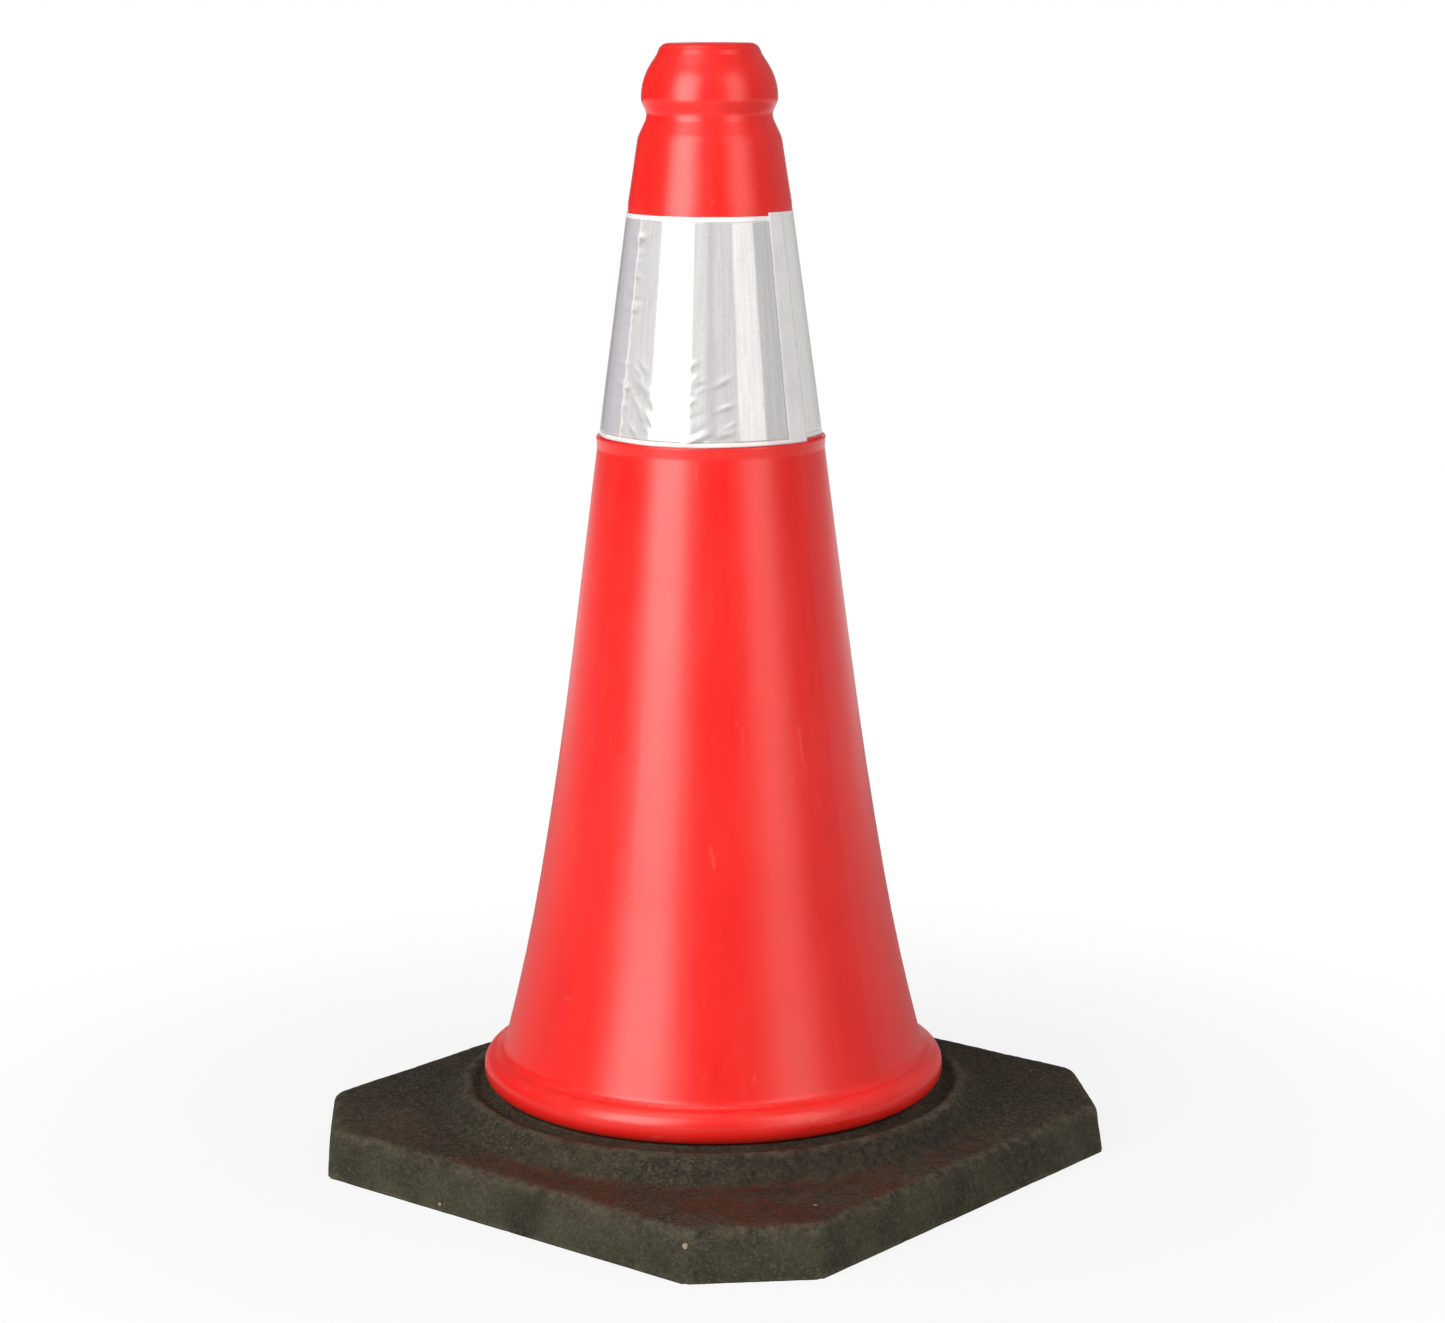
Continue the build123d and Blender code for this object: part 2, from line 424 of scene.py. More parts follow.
@dataclass(frozen=True)
class SatinPlastic:
    """Orange-red moulded polyethylene with flow streaks, fine peel and light scuffs."""

    colour: Colour = (0.80, 0.014, 0.010, 1.0)
    pale: Colour = (0.82, 0.020, 0.014, 1.0)
    deep: Colour = (0.76, 0.011, 0.008, 1.0)
    scuff: Colour = (0.86, 0.16, 0.12, 1.0)
    dust: Colour = srgb(120, 96, 84)
    roughness: float = 0.32
    specular: float = 0.6
    peel: float = 0.03 * MM

    def build(self, effects: Effects) -> bpy.types.Material:
        """The material."""
        material, tree, shader = new_material("satin_plastic")
        place = tree.place()
        cloud = tree.noise(place, 9.0, 3.0)
        streak = tree.group(effects.streaks, {"Count": 46.0, "Stretch": 1.6}).outputs[0]
        tone = tree.plus(tree.times(cloud, 0.55), tree.times(streak, 0.45))
        body = tree.mix(tree.ramp(tone, 0.36, 0.52), self.deep, self.colour)
        body = tree.mix(tree.ramp(tone, 0.50, 0.68), body, self.pale)
        marks = tree.group(effects.marks, {"Scale": 20.0, "Threshold": 0.70}).outputs[0]
        body = tree.mix(tree.times(marks, 0.16), body, self.scuff)
        wear = tree.group(effects.edge_wear, {"Start": 0.52, "End": 0.60, "Amount": 0.18}).outputs[0]
        body = tree.mix(wear, body, self.scuff)
        height = tree.add("SeparateXYZ", {0: place}).outputs["Z"]
        low = tree.ramp(height, 0.13, 0.05)
        dust = tree.group(effects.dust, {"Amount": 0.5}).outputs[0]
        dusty = tree.times(dust, low)
        tree.put(shader.inputs["Base Color"], tree.mix(tree.times(dusty, 0.3), body, self.dust))
        rough = tree.plus(tree.ramp(streak, 0.3, 0.7, self.roughness - 0.02, self.roughness + 0.02),
                          tree.times(tree.math("MAXIMUM", marks, dusty), 0.1))
        tree.put(shader.inputs["Roughness"], rough)
        shader.inputs["Specular IOR Level"].default_value = self.specular
        grain = tree.group(effects.grain, {"Scale": 420.0, "Cell Scale": 380.0, "Cell Share": 0.25})
        relief = tree.plus(grain.outputs["Height"], tree.times(streak, 0.8))
        bump = tree.add("Bump", {"Height": relief, "Distance": self.peel, "Strength": 0.8})
        tree.put(shader.inputs["Normal"], bump.outputs[0])
        return material


@dataclass(frozen=True)
class GranularRubber:
    """Recycled rubber of pressed crumbs, with grey bloom, worn edges and red-brown patches at the front.
    """

    dark: Colour = srgb(31, 29, 24)
    middle: Colour = srgb(52, 47, 37)
    pale: Colour = srgb(98, 92, 78)
    green: Colour = srgb(80, 78, 63)
    red: Colour = srgb(74, 31, 16)
    dust: Colour = srgb(76, 64, 50)
    speck: Colour = srgb(168, 156, 136)
    crumb_scale: float = 620.0
    specular: float = 0.16
    relief: float = 0.32 * MM

    def build(self, effects: Effects) -> bpy.types.Material:
        """The material."""
        material, tree, shader = new_material("granular_rubber")
        place = tree.place()
        crumb = {"Scale": 900.0, "Cell Scale": self.crumb_scale, "Cell Share": 0.65}
        grain = tree.group(effects.grain, crumb)
        coarse = tree.noise(place, 240.0, 3.0)
        crumbs = tree.plus(tree.times(grain.outputs["Cell"], 0.55), tree.times(coarse, 0.45))
        body = tree.mix(tree.ramp(crumbs, 0.12, 0.66), self.dark, self.middle)
        body = tree.mix(tree.ramp(crumbs, 0.60, 0.88, 0.0, 0.4), body, self.pale)
        normal = tree.add("SeparateXYZ", {0: tree.add("NewGeometry").outputs["Normal"]}).outputs["Z"]
        side = tree.ramp(normal, 0.75, 0.2)
        cloud = tree.noise(place, 22.0, 5.0, 0.65)
        bloom = tree.times(tree.ramp(cloud, 0.3, 0.68, 0.25, 1.0), tree.ramp(side, 0.0, 1.0, 0.06, 0.6))
        body = tree.mix(bloom, body, self.green)
        shade = tree.ramp(tree.noise(place, 9.0, 5.0, 0.6), 0.52, 0.68, 0.0, 0.6)
        body = tree.mix(shade, body, self.dark)
        dust = tree.group(effects.dust, {"Amount": 0.5, "Patch Scale": 17.0}).outputs[0]
        body = tree.mix(dust, body, self.dust)
        # red-brown on the flat of the plate, most toward the front corner
        body = tree.mix(self._red_front_patches(tree, place, normal), body, self.red)
        wear = tree.group(effects.edge_wear, {"Start": 0.503, "End": 0.53, "Amount": 0.42}).outputs[0]
        body = tree.mix(wear, body, self.pale)
        speck = tree.ramp(tree.noise(place, 105.0, 0.0), 0.872, 0.888)
        body = tree.mix(tree.times(speck, 0.7), body, self.speck)
        tree.put(shader.inputs["Base Color"], body)
        tree.put(shader.inputs["Roughness"], tree.ramp(crumbs, 0.2, 0.8, 0.96, 0.78))
        shader.inputs["Specular IOR Level"].default_value = self.specular
        height = grain.outputs["Height"]
        bump = tree.add("Bump", {"Height": height, "Distance": self.relief, "Strength": 0.9})
        tree.put(shader.inputs["Normal"], bump.outputs[0])
        return material

    @staticmethod
    def _red_front_patches(tree: Tree, place: Input, normal: Input) -> bpy.types.NodeSocket:
        """Red-brown patches on the flat of the plate, most at the front.

        Args:
            tree: the rubber's tree.
            place: the point on the piece.
            normal: how much its face looks up, from -1 to 1.

        Returns:
            The mask of the patches.
        """
        x, y, _ = tree.add("SeparateXYZ", {0: place}).outputs
        toward_x, toward_y, _ = studio_place(0.0, 1.0, 0.0)
        forward = tree.plus(tree.times(x, toward_x), tree.times(y, toward_y))
        near = tree.ramp(forward, 0.02, 0.21)
        flat = tree.ramp(normal, 0.80, 0.99)
        patch = tree.ramp(tree.noise(place, 19.0, 6.0, 0.7), 0.40, 0.60, 0.15, 1.0)
        streaky = tree.ramp(tree.noise(place, 210.0, 4.0, 0.7), 0.35, 0.62, 0.3, 1.0)
        mask = tree.times(tree.times(near, flat), tree.times(patch, streaky))
        return tree.times(mask, 0.8)


@dataclass(frozen=True)
class WhiteVinyl:
    """Glossy white sheet, a little grey where it was handled."""

    colour: Colour = srgb(232, 230, 233)
    grey: Colour = srgb(206, 203, 208)
    roughness: float = 0.28
    relief: float = 0.03 * MM

    def build(self, effects: Effects) -> bpy.types.Material:
        """The material."""
        material, tree, shader = new_material("white_vinyl")
        place = tree.place()
        marks = tree.group(effects.marks, {"Scale": 30.0, "Threshold": 0.66}).outputs[0]
        streak = tree.group(effects.streaks, {"Count": 90.0, "Stretch": 1.2}).outputs[0]
        cloud = tree.ramp(tree.noise(place, 40.0, 4.0), 0.35, 0.75)
        tone = tree.math("MAXIMUM", tree.times(cloud, 0.5), tree.times(marks, 0.5))
        tree.put(shader.inputs["Base Color"], tree.mix(tone, self.colour, self.grey))
        rough = tree.ramp(streak, 0.3, 0.7, self.roughness - 0.04, self.roughness + 0.08)
        tree.put(shader.inputs["Roughness"], rough)
        grain = tree.group(effects.grain, {"Scale": 300.0, "Cell Scale": 500.0, "Cell Share": 0.1})
        height = grain.outputs["Height"]
        bump = tree.add("Bump", {"Height": height, "Distance": self.relief, "Strength": 0.7})
        tree.put(shader.inputs["Normal"], bump.outputs[0])
        return material


@dataclass(frozen=True)
class PrismaticFilm:
    """Glossy silver-white film over rows of tiny prisms, with a pinkish welded line, and painted shade
    and painted highlight on its panels and wrinkles.
    """

    silver: Colour = srgb(212, 211, 212)
    lilac: Colour = srgb(192, 187, 197)
    weld: Colour = srgb(250, 232, 228)
    # grey is used for the streaks, the handling marks and the painted shade of panels and wrinkles; the
    # next colour is only painted highlight
    grey: Colour = srgb(160, 158, 160)
    painted_highlight: Colour = srgb(240, 239, 238)
    roughness: float = 0.13
    metallic: float = 0.08
    specular: float = 0.8
    cell_scale: float = 2400.0
    relief: float = 0.012 * MM

    def build(self, effects: Effects) -> bpy.types.Material:
        """The material."""
        material, tree, shader = new_material("prismatic_film")
        place = tree.place()
        streak = tree.group(effects.streaks, {"Count": 210.0, "Stretch": 0.9}).outputs[0]
        prisms = {"Scale": 500.0, "Cell Scale": self.cell_scale, "Cell Share": 0.8}
        cells = tree.group(effects.grain, prisms)
        tone = tree.plus(tree.times(streak, 0.7), tree.times(cells.outputs["Cell"], 0.3))
        body = tree.mix(tree.ramp(tone, 0.38, 0.62, 0.0, 0.32), self.silver, self.grey)
        # Painted light: the stored attribute greys each panel and wrinkle face with painted shade, or
        # lightens it with painted highlight, in place of how each reflects the lamps
        panel = tree.add("Attribute", attribute_name=ReflectiveSleeve.PAINTED_LIGHT).outputs["Fac"]
        body = tree.mix(panel, body, self.grey)
        painted_highlight = tree.ramp(tree.times(panel, -1.0), 0.0, 1.0)
        body = tree.mix(painted_highlight, body, self.painted_highlight)
        tint = tree.add("Attribute", attribute_name=ReflectiveSleeve.TINT).outputs["Fac"]
        body = tree.mix(tint, body, self.lilac)
        weld = tree.add("Attribute", attribute_name=ReflectiveSleeve.WELD).outputs["Fac"]
        body = tree.mix(weld, body, self.weld)
        marks = tree.group(effects.marks, {"Scale": 34.0, "Threshold": 0.67}).outputs[0]
        tree.put(shader.inputs["Base Color"], tree.mix(tree.times(marks, 0.3), body, self.grey))
        rough = tree.plus(tree.ramp(streak, 0.3, 0.7, self.roughness - 0.03, self.roughness + 0.04),
                          tree.times(tree.math("MAXIMUM", marks, weld), 0.15))
        tree.put(shader.inputs["Roughness"], rough)
        shader.inputs["Metallic"].default_value = self.metallic
        shader.inputs["Specular IOR Level"].default_value = self.specular
        height = cells.outputs["Height"]
        bump = tree.add("Bump", {"Height": height, "Distance": self.relief, "Strength": 0.5})
        tree.put(shader.inputs["Normal"], bump.outputs[0])
        return material


# ---------------------------------------------------------------- sub-assemblies


@dataclass
class ConeBody:
    """The moulded body, which keeps its CAD shape."""

    finish: SatinPlastic = SatinPlastic()

    def build(self, effects: Effects) -> None:
        """Dress the CAD node."""
        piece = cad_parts[Node.CONE_BODY.value]
        dress(piece, self.finish.build(effects))
        report_piece(piece, Body.CONE)


@dataclass
class RubberBase:
    """The rubber base as it comes from use: uneven, pitted and rubbed at its edges."""

    voxel: float = 2.15 * MM
    swell: float = 0.35 * MM  # slow unevenness
    swell_size: float = 34.0 * MM
    swell_shift: float = 3.1
    pitting: float = 0.28 * MM
    pit_size: float = 4.2 * MM
    pit_shift: float = 7.7
    chipping: float = 1.5 * MM  # at rounded edges
    chip_size: float = 9.0 * MM
    chip_shift: float = 1.3
    chip_threshold: float = 0.12
    level_height: float = 3.0 * MM  # below this the vertices keep their height
    fit_width: float = 14.0 * MM  # ring round the hole that stays true for the bead
    seat_width: float = 16.0 * MM  # ring round the hole that keeps its sharp edges
    foot_height: float = 6.0 * MM  # the lower edge keeps its shape
    soften_passes: int = 10
    soften_share: float = 0.5
    finish: GranularRubber = GranularRubber()

    def build(self, effects: Effects) -> bpy.types.Object:
        """The base piece."""
        piece = self._remeshed()
        self._weather(piece.data)
        dress(piece, self.finish.build(effects))
        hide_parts(Node.RUBBER_BASE.value)
        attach(piece, Body.CONE.value)
        report_piece(piece, Body.CONE)
        return piece

    def _remeshed(self) -> bpy.types.Object:
        """An even, closed mesh of the CAD shape."""
        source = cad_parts[Node.RUBBER_BASE.value]
        copy = bpy.data.objects.new("base_blank", source.data.copy())
        bpy.context.scene.collection.objects.link(copy)
        weld = copy.modifiers.new("weld", "WELD")
        weld.merge_threshold = TOUCH
        remesh = copy.modifiers.new("remesh", "REMESH")
        remesh.mode = "VOXEL"
        remesh.voxel_size = self.voxel
        evaluated = copy.evaluated_get(bpy.context.evaluated_depsgraph_get())
        mesh = bpy.data.meshes.new_from_object(evaluated)
        bpy.data.objects.remove(copy)
        mesh.name = "weathered_base"
        mesh.shade_smooth()
        piece = bpy.data.objects.new("weathered_base", mesh)
        bpy.context.scene.collection.objects.link(piece)
        return piece

    def _weather(self, mesh: bpy.types.Mesh) -> None:
        """Push the vertices in and out by seeded noise, less where the bead and the ground touch."""
        count = len(mesh.vertices)
        points, normals = np.empty(count * 3), np.empty(count * 3)
        self._soften(mesh)
        mesh.vertices.foreach_get("co", points)
        mesh.vertex_normals.foreach_get("vector", normals)
        points, normals = points.reshape(-1, 3), normals.reshape(-1, 3)
        hole = self._hole_radius()
        away = smooth_step(hole + 0.5 * self.fit_width, hole + self.fit_width, radius_of(points))
        lifted = smooth_step(0.0, self.level_height, points[:, 2])
        tilt = np.abs(normals[:, 2])  # 0 on upright faces, 1 on level ones, between them at edges
        edge = smooth_step(0.12, 0.35, tilt) * (1.0 - smooth_step(0.80, 0.97, tilt))
        push = self.swell * noise_at(points, self.swell_size, self.swell_shift)
        push += self.pitting * noise_at(points, self.pit_size, self.pit_shift)
        chips = np.maximum(noise_at(points, self.chip_size, self.chip_shift) - self.chip_threshold, 0.0)
        push -= self.chipping * edge * chips
        freedom = np.stack([np.ones(count), np.ones(count), lifted], axis=1)
        points += normals * (push * away)[:, None] * freedom
        points[:, 2] = np.maximum(points[:, 2], 0.0)
        mesh.vertices.foreach_set("co", points.ravel())
        mesh.update()

    def _soften(self, mesh: bpy.types.Mesh) -> None:
        """Round the upper edges by averaging each vertex with its neighbours, off the bead's seat."""
        count = len(mesh.vertices)
        ends = np.empty(len(mesh.edges) * 2, dtype=np.int64)
        mesh.edges.foreach_get("vertices", ends)
        first, second = ends.reshape(-1, 2).T
        points = np.empty(count * 3)
        mesh.vertices.foreach_get("co", points)
        points = points.reshape(-1, 3)
        reach = self._hole_radius() + self.seat_width
        loose = smooth_step(reach, reach + self.fit_width, radius_of(points))
        loose = self.soften_share * (loose * smooth_step(0.0, self.foot_height, points[:, 2]))[:, None]
        valence = np.bincount(ends, minlength=count)[:, None]
        for _ in range(self.soften_passes):
            sums = [np.bincount(first, axis[second], count) + np.bincount(second, axis[first], count)
                    for axis in points.T]
            points = points + loose * (np.stack(sums, axis=1) / valence - points)
        mesh.vertices.foreach_set("co", points.ravel())
        mesh.update()

    @staticmethod
    def _hole_radius() -> float:
        """Radius of the hole for the cone's neck."""
        return float(radius_of(node_points(Node.RUBBER_BASE)).min())


@dataclass(frozen=True)
class WrinklePatch:
    """A patch of short parallel wrinkles, in angle from FRONT and height above the sleeve's foot."""

    angles: Span
    heights: Span
    slope: float  # degrees above the horizontal
    count: int
    rise: float
    seed: int


@dataclass
class ReflectiveSleeve:
    """Sheet and film bent round the body, with one end lapped over the other."""

    TINT = "lilac_tint"
    # the attribute below holds painted light: painted shade up to 1, painted highlight down to -1, by
    # panel and wrinkle
    PAINTED_LIGHT = "painted_panel_light"
    WELD = "weld_line"

    lap_start: float = 44.0  # where the hidden end begins, from FRONT
    lap_end: float = 57.3  # where the outer end stops, from FRONT
    film_end: float = 42.8
    film_start: float = 57.7
    weld_angle: float = -53.5
    skew: float = 2.2 * MM  # how much higher the hidden end sits
    foot_gap: float = 0.2 * MM
    foot_wave: float = 0.3 * MM
    foot_sag: float = 0.5 * MM
    border: float = 3.1 * MM
    sheet_thickness: float = 0.3 * MM
    film_thickness: float = 0.2 * MM
    crease_share: float = 0.5  # how flat each panel is, from 0 (round) to 1 (flat)
    crease_widths: Span = (8.0, 15.0)  # degrees, where no crease is chosen
    last_panel: float = 14.0
    crease_seed: int = 5
    crease_gap: float = 5.0  # least width of the panel where chosen and seeded creases meet
    lap_rise: Span = (357.0, 361.0)  # degrees after its start where the lap climbs onto itself
    lap_clearance: float = 0.05 * MM
    wrinkle_lengths: Span = (3.0, 7.5)  # mm
    wrinkle_widths: Span = (1.3, 2.0)  # mm
    wrinkle_swing: float = 12.0
    # painted shade and painted highlight on the wrinkles, by whether each face looks down or up
    wrinkle_painted_shade: float = 0.75
    wrinkle_steep: float = 0.16
    weld_width: float = 0.75
    weld_wander: float = 0.9
    weld_wiggles: float = 22.0
    tint_fade: Span = (16.0, 60.0)  # degrees behind the weld
    tint_share: float = 0.75
    painted_light_fade: Span = (90.0, 160.0)  # where the painted highlight of the lap's last panel turns into the painted shade of the first panel behind
    columns: int = 420
    rows: int = 118
    soft_edge: float = 1.4  # degrees over which one panel turns into the next
    creases: tuple[float, ...] = (-66.0, -53.5, -34.5, -11.0, -2.0, 2.5, 14.5, 29.0, 43.5)
    painted_panel_levels: tuple[float, ...] = (0.28, 0.18, 0.05, 0.06, 0.42, 0.10, 0.0, 0.04, -0.95)  # painted light of each panel: 1 painted shade (grey), -1 painted highlight (bright)
    patches: tuple[WrinklePatch, ...] = (
        WrinklePatch((-13.0, 10.0), (3.0 * MM, 56.0 * MM), 28.0, 22, 0.42 * MM, 11),
        WrinklePatch((-46.0, -30.0), (3.0 * MM, 54.0 * MM), -50.0, 15, 0.36 * MM, 23),
        WrinklePatch((-57.5, -51.5), (4.0 * MM, 138.0 * MM), 6.0, 26, 0.46 * MM, 37),
    )
    sheet_finish: WhiteVinyl = WhiteVinyl()
    film_finish: PrismaticFilm = PrismaticFilm()

    def __post_init__(self) -> None:
        """Take the sleeve's place and radii from the CAD sheet."""
        low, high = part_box(Node.BACKING.value)
        self.foot, self.head = low.z, high.z
        self.radius_foot = rim_radius(Node.BACKING, top=False)
        self.radius_head = rim_radius(Node.BACKING, top=True)
        self.all_creases = self._all_creases()

    def build(self, effects: Effects) -> tuple[bpy.types.Object, bpy.types.Object]:
        """The sheet and the film."""
        sheet_span = (self.lap_start, self.lap_end + FULL_TURN)
        film_span = (self.film_start, self.film_end + FULL_TURN)
        sheet = self._layer("sheet", sheet_span, 0.0, self.sheet_thickness, 0.0)
        film = self._layer("film", film_span, self.sheet_thickness, self.film_thickness, self.border)
        self._mark(film)
        dress(sheet, self.sheet_finish.build(effects))
        dress(film, self.film_finish.build(effects))
        for piece, node, slot in ((sheet, Node.BACKING, Slot.SHEET), (film, Node.FILM, Slot.FILM)):
            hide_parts(node.value)
            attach(piece, Body.SLEEVE.value)
            report_piece(piece, Body.SLEEVE)
        return sheet, film

    def _all_creases(self) -> np.ndarray:
        """Creases all round: the chosen ones at the front, and seeded ones behind."""
        rng = np.random.default_rng(self.crease_seed)
        front = np.array(self.creases) + FULL_TURN
        angles = list(self.creases)
        while angles[-1] < front[-1]:
            angles.append(angles[-1] + rng.uniform(*self.crease_widths))
        behind = [angle for angle in angles if angle < front[0] - self.crease_gap]
        return np.array([*behind, *front, front[-1] + self.last_panel])

    def _panels(self, angle: np.ndarray, radius: np.ndarray) -> np.ndarray:
        """How far the creased sheet lies inside the round, at each angle."""
        offsets = self.soft_edge * np.array([-0.8, -0.3, 0.3, 0.8])
        depth = np.zeros_like(radius)
        for near in (angle + offset for offset in offsets):
            index = np.searchsorted(self.all_creases, near, side="right") - 1
            index = np.clip(index, 0, len(self.all_creases) - 2)
            start, stop = self.all_creases[index], self.all_creases[index + 1]
            half = np.radians(stop - start) / 2.0
            middle = np.radians(near - (start + stop) / 2.0)
            depth += radius * (np.cos(half) / np.cos(middle) - 1.0)
        return self.crease_share * depth / len(offsets)

    def _wrinkles(self, angle: np.ndarray, height: np.ndarray, radius: np.ndarray) -> np.ndarray:
        """Raised wrinkles of every patch."""
        total = np.zeros_like(height)
        turned = within_half_turn(angle)
        for patch in self.patches:
            rng = np.random.default_rng(patch.seed)
            for _ in range(patch.count):
                centre_angle = rng.uniform(*patch.angles)
                centre_height = rng.uniform(*patch.heights)
                slope = math.radians(patch.slope + rng.uniform(-self.wrinkle_swing, self.wrinkle_swing))
                length = rng.uniform(*self.wrinkle_lengths) * MM
                width = rng.uniform(*self.wrinkle_widths) * MM
                rise = patch.rise * rng.uniform(0.5, 1.0) * rng.choice([1.0, 1.0, -0.7])
                across = np.radians(turned - centre_angle) * radius
                up = height - centre_height
                along = across * math.cos(slope) + up * math.sin(slope)
                beside = up * math.cos(slope) - across * math.sin(slope)
                total += rise * np.exp(-((along / length) ** 2) - (beside / width) ** 2)
        return total

    def _edge_shift(self, angle: np.ndarray) -> tuple[np.ndarray, np.ndarray]:
        """Shifts of the foot and head edges at each angle: the skewed wrap, its waves and its sag."""
        span = self.lap_end + FULL_TURN - self.lap_start
        lift = self.skew * (1.0 - (angle - self.lap_start) / span)
        ring = np.stack([np.cos(np.radians(angle)), np.sin(np.radians(angle)), angle * 0.0], axis=1)
        wave = self.foot_wave * noise_at(ring, 0.45, 2.0)
        turned = within_half_turn(angle)
        sag = self.foot_sag * np.exp(-(((turned + 18.0) / 26.0) ** 2))
        foot = np.maximum(self.foot_gap + lift + wave - sag, 0.05 * MM)
        return foot, lift + 0.5 * wave

    def _grid(self, span: Span, border: float) -> tuple[np.ndarray, np.ndarray]:
        """Angle and height of each vertex of a layer, by column and row."""
        angle = np.linspace(*span, self.columns)
        share = np.linspace(0.0, 1.0, self.rows)
        foot_shift, head_shift = self._edge_shift(angle)
        foot = (self.foot + foot_shift + border)[:, None]
        head = (self.head + head_shift - border)[:, None]
        return np.repeat(angle[:, None], self.rows, axis=1), foot + (head - foot) * share[None, :]

    def _round_radius(self, height: np.ndarray) -> np.ndarray:
        """Inner radius of the round sleeve at each height."""
        slope = (self.radius_head - self.radius_foot) / (self.head - self.foot)
        return self.radius_foot + slope * (height - self.foot)

    def _layer(self, name: str, span: Span, depth: float, thickness: float,
               border: float) -> bpy.types.Object:
        """One closed layer of the sleeve.

        Args:
            name: the piece's name.
            span: angles from FRONT where it starts and ends.
            depth: how far its inner face lies outside the sheet's inner face.
            thickness: of the layer.
            border: how far it stops short of the sheet's two edges.

        Returns:
            The mesh object.
        """
        wide, height = self._grid(span, border)
        radius = self._round_radius(height)
        over = smooth_step(self.lap_start + self.lap_rise[0], self.lap_start + self.lap_rise[1], wide)
        radius = radius + over * (self.sheet_thickness + self.film_thickness + self.lap_clearance)
        radius = radius + self._panels(wide, radius) + self._slack(radius)
        radius = radius + self._wrinkles(wide, height - self.foot, radius)
        polar = np.radians(wide + FRONT)
        shells = []
        for reach in (depth + thickness, depth):
            far = radius + reach
            shell = np.stack([far * np.cos(polar), far * np.sin(polar), height], axis=2)
            shells.append(shell.reshape(-1, 3))
        return link_mesh("sleeve_" + name + "_wrap", np.concatenate(shells), self._shell_faces())

    def _slack(self, radius: np.ndarray) -> np.ndarray:
        """Lift that keeps the flattest part of each panel off the body."""
        widest = math.radians(float(np.diff(self.all_creases).max()))
        return 0.5 * self.crease_share * radius * (1.0 - math.cos(widest / 2.0))

    def _shell_faces(self) -> np.ndarray:
        """Quads of a closed grid: outer face, inner face and the four edges."""
        number = np.arange(2 * self.columns * self.rows).reshape(2, self.columns, self.rows)
        outer, inner = number

        def quads(a: np.ndarray, b: np.ndarray, c: np.ndarray, d: np.ndarray) -> np.ndarray:
            """One quad for each place in four equal grids of corners."""
            return np.stack([a.ravel(), b.ravel(), c.ravel(), d.ravel()], axis=1)

        faces = [
            quads(outer[:-1, :-1], outer[1:, :-1], outer[1:, 1:], outer[:-1, 1:]),
            quads(inner[:-1, :-1], inner[:-1, 1:], inner[1:, 1:], inner[1:, :-1]),
            quads(outer[:-1, 0], inner[:-1, 0], inner[1:, 0], outer[1:, 0]),
            quads(outer[:-1, -1], outer[1:, -1], inner[1:, -1], inner[:-1, -1]),
            quads(outer[0, :-1], outer[0, 1:], inner[0, 1:], inner[0, :-1]),
            quads(outer[-1, :-1], inner[-1, :-1], inner[-1, 1:], outer[-1, 1:]),
        ]
        return np.concatenate(faces)

    def _mark(self, film: bpy.types.Object) -> None:
        """Store the weld line, the tint, and the painted shade and painted highlight of panels and
        wrinkles, for the finish to read.
        """
        wide, height = self._grid((self.film_start, self.film_end + FULL_TURN), self.border)
        turned = within_half_turn(wide)
        share = np.linspace(0.0, 1.0, self.rows)
        wiggle = [noise.noise(Vector((value * self.weld_wiggles, 0.0, 4.0))) for value in share]
        jitter = np.array(wiggle)[None, :]
        off = turned - self.weld_angle - self.weld_wander * jitter
        weld = np.exp(-((off / self.weld_width) ** 2)) * (0.75 + 0.25 * jitter)
        tint = smooth_step(-0.6, 0.9, -off) * (1.0 - smooth_step(*self.tint_fade, -off)) * self.tint_share
        # painted light by panel: each panel's painted shade or highlight, eased across its creases and,
        # behind the lap, back to the first panel's level
        knots, levels = [], []
        for crease, before, after in zip(self.creases[1:], self.painted_panel_levels, self.painted_panel_levels[1:]):
            knots += [crease - self.soft_edge, crease + self.soft_edge]
            levels += [before, after]
        knots += self.painted_light_fade
        levels += [self.painted_panel_levels[-1], self.painted_panel_levels[0]]
        # painted shade where a wrinkle's face looks down, painted highlight where it looks up
        relief = self._wrinkles(wide, height - self.foot, self._round_radius(height))
        fall = np.gradient(relief, axis=1) / np.gradient(height, axis=1)
        shade = self.wrinkle_painted_shade * np.clip(fall / self.wrinkle_steep, -1.0, 1.0)
        tone = np.interp(turned, knots, levels) + shade
        for name, values in ((self.WELD, weld), (self.TINT, tint), (self.PAINTED_LIGHT, tone)):
            attribute = film.data.attributes.new(name, "FLOAT", "POINT")
            layer = np.broadcast_to(np.clip(values, -1.0, 1.0), (self.columns, self.rows)).ravel()
            attribute.data.foreach_set("value", np.concatenate([layer, layer]).astype(np.float32))


# ---------------------------------------------------------------- studio


@dataclass(frozen=True)
class Softbox:
    """A rectangular lamp that faces the object."""

    name: str
    bearing: float  # degrees from the main view's direction, to the right
    distance: float  # from the axis, level
    height: float
    width: float
    length: float
    radiance: float
    aim: float  # height that it faces
    tint: tuple[float, float, float] = (1.0, 1.0, 1.0)

    def build(self) -> bpy.types.Object:
        """The lamp."""
        light = bpy.data.lights.new(self.name, "AREA")
        light.shape = "RECTANGLE"
        light.size, light.size_y = self.width, self.length
        light.energy = self.radiance * math.pi * self.width * self.length
        light.color = self.tint
        lamp = bpy.data.objects.new(self.name, light)
        bpy.context.scene.collection.objects.link(lamp)
        place = studio_place(self.bearing, self.distance, self.height)
        lamp.location = place
        lamp.rotation_euler = (Vector((0.0, 0.0, self.aim)) - place).to_track_quat("-Z", "Y").to_euler()
        return lamp


